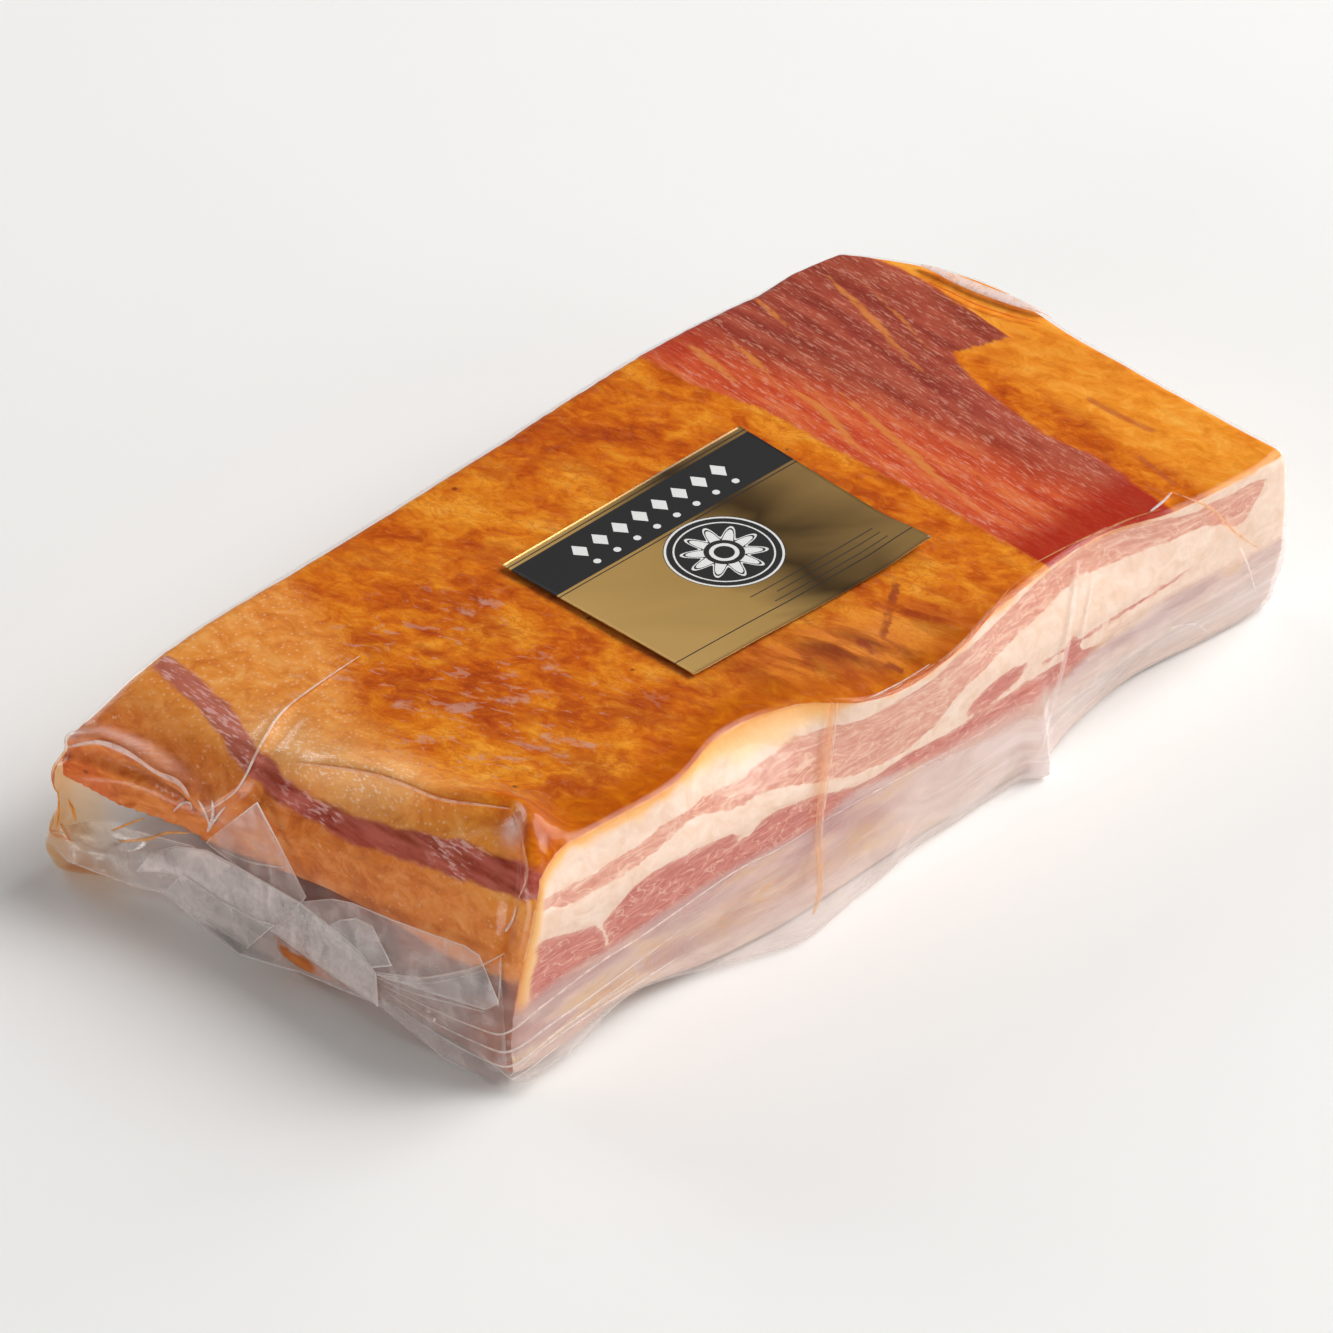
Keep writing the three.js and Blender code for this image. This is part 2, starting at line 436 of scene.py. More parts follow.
# Relief of the left end, which the meat and the film over it share. Places on the pack are in millimetres
# in the scene's frame.
LIP = [
    (-58, -104), (-52, -98.5), (-46, -94), (-41, -93), (-35, -95.5), (-25, -98.8), (-15, -100), (-8, -101),
    (2, -104), (12, -107.5),
]
LIP_KNOB = (-96.5, -47, 51)
KNOT = (-120, 25, 28)
RIDGE_LINE = [(-129, 64, 33.5), (-124.5, 57, 35), (-121.4, 46.5, 34.6), (-120, 34.4, 32), (-119, 28, 28.5)]
GROOVE_LINE = [
    (-129, 64, 29.5), (-125.3, 57, 31), (-122.3, 46.5, 30.8), (-121, 34.4, 28.2), (-120, 28, 25.5),
]
CREASE_LINE = [
    (-97.9, 25.8, 45.4), (-106, 23.5, 43.8), (-110.5, 21.7, 41.2), (-114.2, 21.7, 36.7), (-118.9, 26.5, 30),
]
BELOW_CREASE = np.array(CREASE_LINE) + (-2, -4, -1)
END_DEPTH = [(-64, 2), (-30, 4), (0, 7), (20, 10), (40, 19), (66, 34)]
END_FOOT = [
    (-64, 28), (-52, 27), (-39, 25), (-27, 25.5), (-13, 24.5), (-2, 23.5), (10, 21.5), (28, 18.7),
    (34, 19.5), (43, 20), (55, 21.5), (66, 22.5),
]

# Heights and reaches of that relief: the overhanging lip and the dip below it, and the folds by their lines
LIP_FORM = dict(rise=2.8, reach=7, fall=1.6, out=5.5, width=3.5)
KNOB_FORM = dict(rise=1.3, reach=4)
FOLDS = [
    (RIDGE_LINE, 2.8, 2.3), (GROOVE_LINE, -2.6, 2), (CREASE_LINE, 0.9, 1.4), (BELOW_CREASE, -1.0, 3),
]


def end_relief(points):
    """How far the left end's folds of rind stand out of the plain form."""
    x, y, z = points.T
    out = through(LIP, y) - x
    lip = LIP_FORM["rise"] * bump(np.minimum(out, 0), LIP_FORM["reach"]) * smooth(2.6, -0.6, out)
    lip -= LIP_FORM["fall"] * bump(out - LIP_FORM["out"], LIP_FORM["width"])
    relief = lip * smooth(14, 0, y) * smooth(-60, -54, y) * smooth(28, 36, z)
    relief += KNOB_FORM["rise"] * bump(np.linalg.norm(points - LIP_KNOB, axis=1), KNOB_FORM["reach"])
    return relief + sum(rise * bump(off_line(points, line), reach) for line, rise, reach in FOLDS)


def drawn_back(points):
    """Sets the lower part of the slab's left end back, where only film hangs over it."""
    x, y, z = points.T
    across = np.clip(2 * (y - SHIFT[1] - CUT_FACE_Y) / (BACK_Y - CUT_FACE_Y) - 1, -1, 1)
    knuckle = smooth(10, 5, z) * bump(y + 2, 15)
    under = smooth(-0.5, 4.5, through(END_FOOT, y) - z) * (1 - knuckle)
    depth = through(END_DEPTH, y) * under + 4 * smooth(44, 62, y) * smooth(40, 24, z) * (1 - under)
    wall = left_end(across, np.clip(z / HEIGHT, 0, 1)) + SHIFT[0] + depth
    drawn = np.where((x < wall) & (depth > 0.1), wall + 0.04 * (x - wall), x)
    return drawn - 3 * knuckle * smooth(-108, -114, x)


# The meat
GRAIN_TURN = math.radians(-14)
FIBRE_TURN = math.radians(2)

# Lower and upper edges of the two lean layers on the cut faces, as (way along the faces, height)
LEAN_UPPER_LOW = [
    (-112, 43), (-98, 39.5), (-86, 38.5), (-75, 38.5), (-55, 40), (-44, 37), (-32, 36), (-21, 32), (-9, 28),
    (4, 26), (15, 28), (23, 32.5), (38, 36.5), (54, 38.5), (70, 40), (83, 38.5), (93, 38.5), (104, 38),
    (110, 36), (118, 32.5), (124, 37), (129, 42), (140, 38), (175, 38), (210, 36), (260, 38),
]
LEAN_UPPER_HIGH = [
    (-112, 46), (-98, 43.5), (-86, 42.5), (-75, 42.5), (-55, 43), (-44, 41.5), (-32, 41.5), (-21, 42.5),
    (-9, 41.5), (4, 41.5), (15, 42), (23, 44), (38, 43.5), (54, 44.5), (70, 45.5), (83, 46), (93, 45),
    (104, 42.5), (112, 42.5), (124, 42), (130, 40), (140, 42), (175, 43), (210, 41), (260, 42),
]
LEAN_LOWER_LOW = [
    (-120, 17), (-100, 19), (-82, 17), (-64, 18), (-46, 17), (-22, 15), (-9, 13), (10, 12), (30, 12),
    (44, 13), (60, 12), (80, 14), (100, 15), (124, 11), (150, 12), (200, 14), (260, 12),
]
LEAN_LOWER_HIGH = [
    (-120, 27), (-111, 30), (-105, 34.5), (-98, 33), (-91, 31), (-87, 29.5), (-83, 31), (-76, 35),
    (-64, 35), (-50, 33), (-46, 32), (-43, 29.5), (-37, 32), (-22, 29.5), (-9, 25), (8, 25), (20, 24),
    (38, 25), (46, 25.5), (60, 25), (72, 23), (90, 21), (104, 19), (124, 16), (150, 19), (200, 22),
    (260, 18),
]

# The lean band across the top: its edges as (Y, X), its spur's corners and its streaks with their half widths
BAND_LEFT = [(-64, 61), (-46, 60), (-28, 60), (-15, 59), (-1, 58), (14, 57), (32, 56), (48, 52), (66, 51)]
BAND_RIGHT = [
    (-64, 97), (-51, 98), (-34, 100), (-20, 98), (3, 100), (18, 104.5), (30, 113), (40, 121), (66, 119),
]
SPUR = [(100, 19), (119.5, 13), (121.5, 40), (100, 40)]
BAND_STREAKS = [
    ([(106, 60), (102, 45), (97, 29), (93, 14)], 1.1),
    ([(110, 52), (106, 36), (101, 21)], 0.5),
    ([(67, 36), (66, 22), (62, 9), (60, 1)], 1.2),
    ([(74, 24), (71, 8), (68, -9), (66, -20), (64, -31)], 1.3),
    ([(70, 56), (66, 36)], 0.9),
    ([(62, 62), (59, 43)], 1.3),
    ([(87, 66), (83, 46)], 0.8),
]
RED_STREAKS = [
    ([(115.6, -16), (116, -22), (116.8, -28), (117.6, -34)], 0.8), ([(107.4, -39), (105.3, -52)], 0.6),
]

# The left end's lean stripe, the golden rind's far edge, marks of the rind, some with their reach, and the
# line along which sheen and glints are painted
STRIPE = [
    (-103, 60, 43), (-104, 50, 43), (-106, 38, 43), (-110, 27, 42), (-111, 21, 40), (-111, 5, 37),
    (-110, -10, 38), (-106, -33, 43), (-103, -56, 46),
]
GOLD_EDGE = [
    (-106, -6), (-97, -21), (-85, -39), (-68, -48), (-54, -47), (-42, -42), (-31, -41), (-10, -46),
    (20, -56),
]
LIFTED = [
    ((-73, -2), (-70, -4), 1.7), ((-80, 8), (-79, 6), 1.1), ((-64, -7), (-60, -11), 0.9),
    ((-48, -5), (-47, -7), 1.1), ((-57, 0), (-55, -2), 0.9), ((-40, 24), (-39, 21), 1.2),
    ((-46, 25), (-45, 23), 0.9), ((-83, -18), (-76, -27), 0.5), ((-67, -24), (-62, -34), 0.8),
    ((-72, -24), (-70, -27), 0.9), ((-70, -31), (-69, -33), 0.8),
]
BLOTCHES = [
    ((-74, 38), (-70, 30), 6), ((-75, 10), (-66, -4), 5.5), ((-46, 26), (-47, 10), 3.5),
    ((-80, -44), (-65, -40), 5), ((-90, -36), (-77, -54), 3), ((-58, -22), (-44, -34), 4),
]
SCARS = [[(30, -36), (24.6, -40), (19.8, -43.3), (14.7, -46.7)], [(8.6, -45.5), (8.5, -53), (9.7, -57)]]
PAINTED_SHEEN_LINE = [(-104, 24, 44), (-105, 10, 45), (-104, -6, 46), (-99, -12, 47)]
TAN_EDGE = [(-64, -106), (-40, -100), (-15, -94), (0, -92), (12, -90), (30, -78), (48, -70), (66, -66)]

# On the cut faces: how deep the orange fringe is, spots of tallow, and where the milky film ends, all along X
FRINGE = [
    (-114, 5), (-108, 5), (-102, 4), (-96, 3), (-89, 2.6), (-80, 3.4), (-70, 3.4), (-62, 2.4), (-55, 2.4),
    (-46, 4.5), (-30, 6), (-14, 4), (-6, 1), (10, 1), (130, 0.6),
]
TALLOW = [(-8, 10), (-24, 9), (-39, 12), (-50, 9), (-73, 13), (-83, 11)]
HAZE_LINE = [
    (-120, 18), (-100, 22), (-82, 22), (-64, 23), (-46, 23), (-22, 21), (-9, 24), (40, 16), (79, 25),
    (134, 22),
]


def inside(x, y, corners):
    """How far inside a convex outline each place lies, its corners given anticlockwise."""
    depths = []
    for (x0, y0), (x1, y1) in zip(corners, corners[1:] + corners[:1]):
        depths.append(((x1 - x0) * (y - y0) - (y1 - y0) * (x - x0)) / math.hypot(x1 - x0, y1 - y0))
    return np.minimum.reduce(depths)


def cut_distance(plain, half):
    """How far inside the cut faces, at the front and the right end, a point of the plain box lies."""
    down = half[2] - plain[:, 2]
    front = np.minimum(down, plain[:, 0] + half[0]) - (plain[:, 1] + half[1])
    right = np.minimum(down, half[1] - plain[:, 1]) - (half[0] - plain[:, 0])
    return np.maximum(front, right)


def meat_marks(plain, half, points):
    """The fields that the meat's material reads, as signed distances in millimetres or shares from 0 to 1."""
    x, y, z = points.T
    on_end = plain[:, 0] - half[0] - np.maximum(-half[1] - plain[:, 1], -1.5)
    run = np.where(on_end > -0.01, RIGHT_END_X + np.maximum(y - CUT_FACE_Y, 0), x)
    sway = 1.1 * noise(np.stack([run, z * 1.5, np.zeros_like(z)], 1), 7)
    cut = cut_distance(plain, half)
    upper = np.minimum(through(LEAN_UPPER_HIGH, run) - z, z - through(LEAN_UPPER_LOW, run)) + 0.6 * sway
    lower = np.minimum(through(LEAN_LOWER_HIGH, run) - z, z - through(LEAN_LOWER_LOW, run)) + 0.6 * sway
    left_seam = np.abs(run + 86.5 + 0.3 * (z - 28) + sway) - 0.15
    right_seam = np.abs(run + 44.5 + 0.4 * (z - 28)) + 0.25 * (31 - z) - 0.4
    lower = np.minimum.reduce([lower, left_seam, right_seam])
    oval = 3.2 - np.hypot((x - 36) / 3.2, (z - 28 - 0.16 * (x - 36)))
    plan = points[:, :2]
    thin = 0.8 - np.abs(z - (27 + 0.03 * (x - 47))) + 3 * smooth(112, 100, x) * smooth(44, 52, x) - 3
    triangle = 5 - np.hypot((x - 61) * 1.6, (z - 23) * 0.7)
    lean = np.maximum.reduce([upper, lower, oval, thin, triangle])
    deep = smooth(-1, 2, np.maximum.reduce([lower, oval, thin, triangle]))
    band = np.minimum(x - through(BAND_LEFT, y), through(BAND_RIGHT, y) - x)
    band = np.maximum(band, inside(x, y, SPUR))
    streak = np.full(len(x), -20.0)
    for line, width in BAND_STREAKS:
        distance, place = line_distance(plan, line)
        streak = np.maximum(streak, width * (1.1 - 1.9 * np.abs(place - 0.45)) - distance)
    red = np.full(len(x), -20.0)
    for line, width in RED_STREAKS:
        red = np.maximum(red, width - off_line(plan, line))
    lifted = np.maximum.reduce([width - off_line(plan, (a, b)) for a, b, width in LIFTED])
    blotches = [smooth(width + 3, width - 3, off_line(plan, (a, b))) for a, b, width in BLOTCHES]
    stripe = 2.9 + 1.2 * smooth(-5, -40, y) - off_line(points, STRIPE)
    # Painted shade where the left end is drawn back under the overhang, less of it on the knuckle at the foot
    hollow = smooth(-104, -110, x) * smooth(0, 3.5, through(END_FOOT, y) + 1.2 * noise(points, 6) - z)
    hollow *= 1 - 0.4 * smooth(11, 7, z) * bump(y + 2, 16)
    gold_corner = smooth(2, -3, y - through(GOLD_EDGE, x) + 3 * noise(points, 11))
    gold_corner *= smooth(-1, 1, x - through(LIP, y))
    fringe = smooth(-0.5, 0.5, cut) * smooth(1.5, -1.5, cut - through(FRINGE, x) - 1.2 * noise(points, 4))
    band_back = 0.6 * smooth(54, 64, y) * smooth(80, 60, x)
    return {
        "cut": cut,
        "hollow": hollow,
        "lean": lean,
        "deep": deep,
        "band": band,
        "streak": streak,
        "red": red,
        "stripe": stripe,
        "tan": smooth(7, -5, x - through(TAN_EDGE, y)),
        "gold": np.maximum(gold_corner, 0.7 * smooth(8, 0, -cut) * (cut < 0) * smooth(60, 40, x)),
        "dark": bump(np.hypot((x - 6) / 2.2, y + 43 + 0.3 * x), 11),
        "painted_groove_shade": smooth(2.4, 0.6, off_line(points, GROOVE_LINE)) * smooth(-116, -119, x),
        "scar": np.maximum.reduce([smooth(1.8, 0.2, off_line(plan, scar)) for scar in SCARS]),
        "fringe": fringe * np.maximum(smooth(-108, -104, x), smooth(17, 22, z)),
        "low": smooth(1, -2, z - through(HAZE_LINE, run)),
        "end": smooth(-98, -110, x + 0.35 * (45 - z)) * smooth(44, 36, z),
        "right": smooth(106, 112, x),
        "tallow": 0.8 * np.maximum.reduce([bump(np.hypot((run - a) / 2, z - b), 4) for a, b in TALLOW]),
        "foot": np.maximum(0.5 * smooth(11, 3, z), 0.6 * smooth(22, 16, z) * smooth(-6, 14, run)),
        "bandfront": np.maximum(smooth(-36, -47, y), band_back) * smooth(50, 56, x),
        "stripepale": smooth(12, 36, y),
        "mauve": smooth(71, 90, x + 0.25 * y),
        "lifted": lifted,
        "brown": np.maximum.reduce(blotches),
        "painted_sheen": bump(off_line(points, PAINTED_SHEEN_LINE), 7),
        "specks": smooth(-100, -84, x) * smooth(-30, -55, x) * smooth(-45, -30, y) * smooth(50, 30, y),
    }


def rind_colour(look, grain, blotch, fine):
    """The smoked rind: amber on top, golden by the cut face, tan at the left end, with its marks, painted
    sheen and shade.
    """
    stroke = look.noise((6, 24, 14), GRAIN_TURN, detail=4, roughness=0.55, distortion=0.5)
    rind = look.ramp(0.45 * grain + 0.55 * blotch, {
        0.36: (166, 62, 12), 0.44: (196, 90, 14), 0.5: (216, 116, 20), 0.57: (232, 144, 36),
        0.66: (242, 168, 66),
    })
    rind = look.mix(0.35 * look.step(fine, 0.52, 0.75), rind, (238, 164, 76))
    rind = look.mix(0.35 * look.step(stroke, 0.54, 0.66), rind, (168, 64, 24))
    rind = look.mix(look["brown"] * (0.5 * look.step(grain, 0.66, 0.36) + 0.1), rind, (164, 60, 16))
    net = abs(look.noise((2.4, 4.2, 3), GRAIN_TURN, detail=4, distortion=0.8) - 0.5)
    rind = look.mix(look.step(net, 0.05, 0.0) * (0.45 * look.step(blotch, 0.4, 0.6)), rind, (184, 84, 26))
    gold = look.ramp(grain, {0.3: (168, 70, 0), 0.5: (190, 90, 0), 0.7: (214, 122, 0)})
    rind = look.mix(0.9 * look["gold"], rind, gold)

    tan = look.ramp(grain, {0.3: (210, 118, 46), 0.5: (232, 148, 64), 0.7: (242, 174, 98)})
    tan = look.mix(0.5 * look.step(look.cells(1.5), 0.32, 0.1), tan, (246, 205, 160))
    # Painted sheen and painted glints on the tan along that line, lighter and whiter colour for light on the
    # film
    painted_glint = look["painted_sheen"] * look.step(look.noise((0.7, 1.2, 0.8), detail=3), 0.58, 0.64)
    tan = look.mix(0.6 * look["painted_sheen"], tan, (246, 192, 130))
    tan = look.mix(0.6 * painted_glint, tan, (255, 232, 208))
    rind = look.mix(0.9 * look["tan"], rind, tan)
    dark = look.ramp(stroke, {0.42: (216, 128, 52), 0.5: (164, 78, 34), 0.6: (120, 48, 24)})
    rind = look.mix(0.85 * look["dark"], rind, dark)
    scar = look.ragged("scar", look.noise((1.2, 2.4, 2), detail=4), 1.2, 0.2, 0.8)
    rind = look.mix(scar * (0.8 * look.step(grain, 0.35, 0.6)), rind, (142, 56, 34))

    end = look.ramp(look.noise((5, 8, 4), 0.3, detail=6, roughness=0.65, distortion=0.8), {
        0.32: (176, 80, 30), 0.5: (208, 114, 50), 0.68: (224, 146, 82),
    })
    fleck = look.step(look.noise((1.2, 2.2, 1.2), 0.3, detail=3, roughness=0.6), 0.62, 0.7)
    end = look.mix(0.6 * fleck, end, (232, 176, 136))
    rind = look.mix(0.9 * look["end"], rind, end)
    # Painted shade in the dip under the ridge
    rind = look.mix(0.8 * look["painted_groove_shade"], rind, (132, 54, 16))
    # Painted shade: dark brown in the drawn-back hollow under the left end's overhang
    hollow = look.ramp(stroke, {0.35: (96, 50, 40), 0.65: (150, 76, 46)})
    rind = look.mix(0.95 * look["hollow"], rind, hollow)

    # Lilac-grey specks where the film has lifted, and small dark pits
    speck = look.noise((2.6, 6.5, 4), GRAIN_TURN, detail=3, roughness=0.55, distortion=1.2)
    patch = look.noise((5, 10, 8), GRAIN_TURN, detail=4, roughness=0.6, distortion=0.6)
    speck = look.largest(look.step(speck, 0.61, 0.65), look.step(patch, 0.64, 0.67))
    ragged = look.noise((1.6, 2.6, 2), GRAIN_TURN, detail=5, roughness=0.7)
    lifted = 0.62 * look.ragged("lifted", ragged, 6.0, -0.7, 0.9)
    rind = look.mix(look.largest(speck * (0.35 * look["specks"] + 0.05), lifted), rind, (206, 158, 138))
    pit = look.step(look.cells(13.0), 0.07, 0.03) * (0.8 * look.step(blotch, 0.5, 0.52))
    return look.mix(pit, rind, (112, 46, 24))


def with_lean_band(look, rind, grain):
    """Adds the right end's brighter rind and the dark red lean band, with its fibres and orange streaks."""
    fibre = look.noise((0.55, 3.6, 3), FIBRE_TURN, detail=4, roughness=0.65, distortion=0.4)
    shade = look.noise((4, 34, 10), detail=4, roughness=0.6)
    uneven = look.noise((1.2, 7, 4), detail=5, roughness=0.65)
    lean = look.ramp(shade, {0.36: (190, 64, 38), 0.5: (208, 86, 50), 0.64: (220, 116, 66)})
    mauve = look.ramp(shade, {0.36: (136, 52, 44), 0.5: (156, 66, 54), 0.64: (176, 84, 66)})
    lean = look.mix(look["mauve"], lean, mauve)
    lean = look.mix(0.5 * look.step(fibre, 0.52, 0.64), lean, (224, 164, 140))
    lean = look.mix(0.85 * look["bandfront"], lean, (166, 30, 18))
    lean = look.mix(0.4 * look.step(fibre, 0.42, 0.32), lean, (132, 44, 34))
    lean = look.mix(0.9 * look.ragged("streak", uneven, 3.0, -0.5, 0.7), lean, (216, 132, 66))

    right_rind = look.ramp(grain, {0.3: (222, 124, 26), 0.5: (240, 152, 44), 0.7: (248, 178, 76)})
    rind = look.mix(0.75 * look["right"], rind, right_rind)
    rind = look.mix(0.96 * look.ragged("band", uneven, 3.4, -0.6, 0.7), rind, lean)
    return look.mix(0.7 * look.ragged("red", uneven, 1.2, -0.7, 0.6), rind, (176, 84, 50))


def with_lean_stripe(look, rind, blotch):
    """Adds the narrow lean stripe across the left end."""
    stripe = look.ramp(look.noise((2, 12, 2), detail=4), {0.35: (136, 44, 38), 0.65: (184, 92, 84)})
    shown = look.largest(look.step(blotch, 0.44, 0.56), look["stripepale"])
    streaks = look.step(look.noise((0.7, 3.6, 0.7), detail=3), 0.5, 0.62) * shown
    stripe = look.mix(0.4 * look["stripepale"], stripe, (206, 130, 112))
    stripe = look.mix(0.75 * streaks, stripe, (226, 176, 172))
    shown = look.ragged("stripe", look.noise((3, 7, 3), detail=5), 3.4, -0.7, 0.8)
    return look.mix(0.9 * shown, rind, stripe)


def cut_face_colour(look):
    """The cut faces: cream fat with lean layers, paler at the foot, and an orange fringe under the rind."""
    marble = look.noise((6, 6, 3.4), detail=6, roughness=0.62, distortion=0.9)
    fat = look.ramp(marble, {0.32: (230, 196, 170), 0.5: (237, 208, 187), 0.7: (243, 220, 202)})
    fat = look.mix(look["deep"], fat, look.ramp(marble, {0.3: (230, 190, 170), 0.6: (242, 208, 190)}))
    strand = look.noise((9, 9, 1.6), detail=5, roughness=0.65, distortion=1.4)
    lean_pale = look.ramp(strand, {0.34: (206, 140, 120), 0.52: (220, 162, 141), 0.68: (233, 195, 172)})
    lean_deep = look.ramp(strand, {0.34: (188, 100, 92), 0.52: (204, 126, 112), 0.7: (222, 154, 138)})
    vein = abs(look.noise((7, 7, 3), detail=2, distortion=0.8) - 0.5)
    lean = look.mix(look["deep"], lean_pale, lean_deep)
    lean = look.mix(0.45 * look.step(vein, 0.022, 0.006), lean, (240, 206, 180))
    jagged = look.noise((3.2, 3.2, 1.8), detail=5, roughness=0.65)
    face = look.mix(look.ragged("lean", jagged, 2.0, 0.1, 0.5), fat, lean)
    lilac = look.ramp(look.noise((30, 20, 6), detail=4, roughness=0.55, distortion=1.0), {
        0.38: (176, 128, 122), 0.5: (192, 150, 142), 0.58: (214, 178, 158), 0.66: (212, 168, 112),
    })
    face = look.mix(0.85 * look["low"], face, lilac)
    face = look.mix(look["tallow"] * look.step(marble, 0.35, 0.6), face, (204, 152, 84))
    face = look.mix(look["foot"], face, (228, 206, 192))
    peach = look.ramp(0.15 * look["cut"] + 0.3 * jagged, {
        0.12: (226, 132, 34), 0.4: (244, 176, 92), 0.9: (250, 208, 152),
    })
    return look.mix(0.9 * look["fringe"], face, peach)


def meat_material():
    look = Look("smoked_meat")
    grain = look.noise((4.5, 7, 6), GRAIN_TURN, detail=8, roughness=0.68, distortion=0.6)
    blotch = look.noise((17, 30, 30), GRAIN_TURN, detail=5, roughness=0.56, distortion=0.7)
    fine = look.noise((0.9, 2.6, 1.2), GRAIN_TURN, detail=5, roughness=0.7)
    rind = rind_colour(look, grain, blotch, fine)
    rind = with_lean_stripe(look, with_lean_band(look, rind, grain), blotch)
    cut = look.ragged("cut", look.noise(3.0, detail=4), 1.6, -0.25, 0.35)
    normal = look.bump(fine, 0.12, 0.5)
    normal = look.bump(look.noise((2.4, 7, 4), GRAIN_TURN, detail=3), 0.5, 0.5, Normal=normal)
    surface = look.add(
        "BsdfPrincipled", Base_Color=look.mix(cut, rind, cut_face_colour(look)), Roughness=0.42,
        Specular_IOR_Level=0.04, Subsurface_Weight=0.08, Subsurface_Radius=(1.0, 0.35, 0.2),
        Subsurface_Scale=0.004, Normal=normal,
    )
    return look.finish(surface)


MEAT_CELLS = (200, 104, 60)

# How far the slab lies under the pack's outline, in millimetres
FILM_GAP = 0.7


def make_meat():
    plain, half, points, faces = rounded_block(MEAT_CELLS, loose=0.25, cut_radius=1.3)
    normal = normals_of(points, faces)
    marks = meat_marks(plain, half, points + SHIFT)
    skin = smooth(0.5, -2, marks["cut"])
    push = -FILM_GAP + end_relief(points + SHIFT)
    push += 0.3 * fractal(points, 22) + 0.16 * skin * fractal(points, (2.6, 8, 5), 2)
    push -= 0.3 * smooth(-0.5, 1.5, marks["lean"]) * (1 - skin)
    push += 0.25 * smooth(-1, 1, marks["band"]) * skin
    points = points + normal * push[:, None]
    points[:, 0] = drawn_back(points + SHIFT) - SHIFT[0]
    meat = make_object("bacon_slab", points, faces, meat_material(), marks)
    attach(meat, "root")
    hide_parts("sealed_pack")


# The film

def film_look(look, haze, amber, roughness=0.09):
    """Clear glossy film. haze is how milky it is, painted highlights included, and amber how much juice
    colours it, both from 0 to 1.
    """
    milk = look.mix(amber, (251, 243, 240), (250, 190, 64))
    cloudy = look.blend(0.5, look.add("BsdfDiffuse", milk), look.add("BsdfTranslucent", milk))
    clear = look.add("BsdfTransparent", look.mix(amber, (255, 255, 255), (250, 190, 70)))
    normal = look.bump(look.noise(6.0, detail=3), 0.5, 0.3)
    gloss = look.add("BsdfGlossy", Color=(255, 255, 255), Roughness=roughness, Normal=normal)
    facing = look.add("LayerWeight", output="Facing", Blend=0.5, Normal=normal)
    shine = 0.8 * look.math("POWER", facing, 4.5) + 0.015
    return look.finish(look.blend(shine, look.blend(haze, clear, cloudy), gloss))


def body_film_material():
    look = Look("clear_film")
    cloud = look.step(look.noise((26, 12, 7), detail=3, roughness=0.5, distortion=1.2), 0.36, 0.66)
    streaks = look.step(look.noise((60, 14, 2), detail=2, roughness=0.5), 0.5, 0.66)
    haze = look["haze"] * (0.4 * cloud + 0.25 * streaks + 0.62)
    return film_look(look, look.math("ADD", haze, 0.0015, clamp=True), look["amber"], 0.16)


def sheet_film_material():
    look = Look("folded_film")
    mottle = look.step(look.noise(1.4, detail=4, roughness=0.6), 0.3, 0.7)
    cloud = look.step(look.noise(9.0), 0.3, 0.6)
    frost = look["frost"] * (0.3 * mottle + 0.45 * cloud)
    soft = look.step(look.noise((4, 9, 9), 0.4, detail=4, distortion=1.0), 0.42, 0.66)
    haze = look["haze"] + 0.16 * soft + 0.5 * frost
    # Painted highlight: the sheets' rims are made nearly fully milky, for light catching their edges
    haze = look.math("MAXIMUM", haze, 0.9 * look["rim"], clamp=True)
    return film_look(look, haze, look["amber"])


def crease_material():
    look = Look("film_crease")
    broken = look.step(look.noise(2.5, detail=3), 0.3, 0.6)
    # The threads' whiteness is milky film and a painted highlight
    return film_look(look, look["haze"] * (0.5 * broken + 0.5), look["amber"])


FILM_CELLS = (190, 96, 44)

# How milky the film over the foot of the cut face is, along X
HAZE_AMOUNT = [(-120, 0.32), (-20, 0.42), (10, 0.58), (40, 0.72), (80, 0.68), (134, 0.55)]


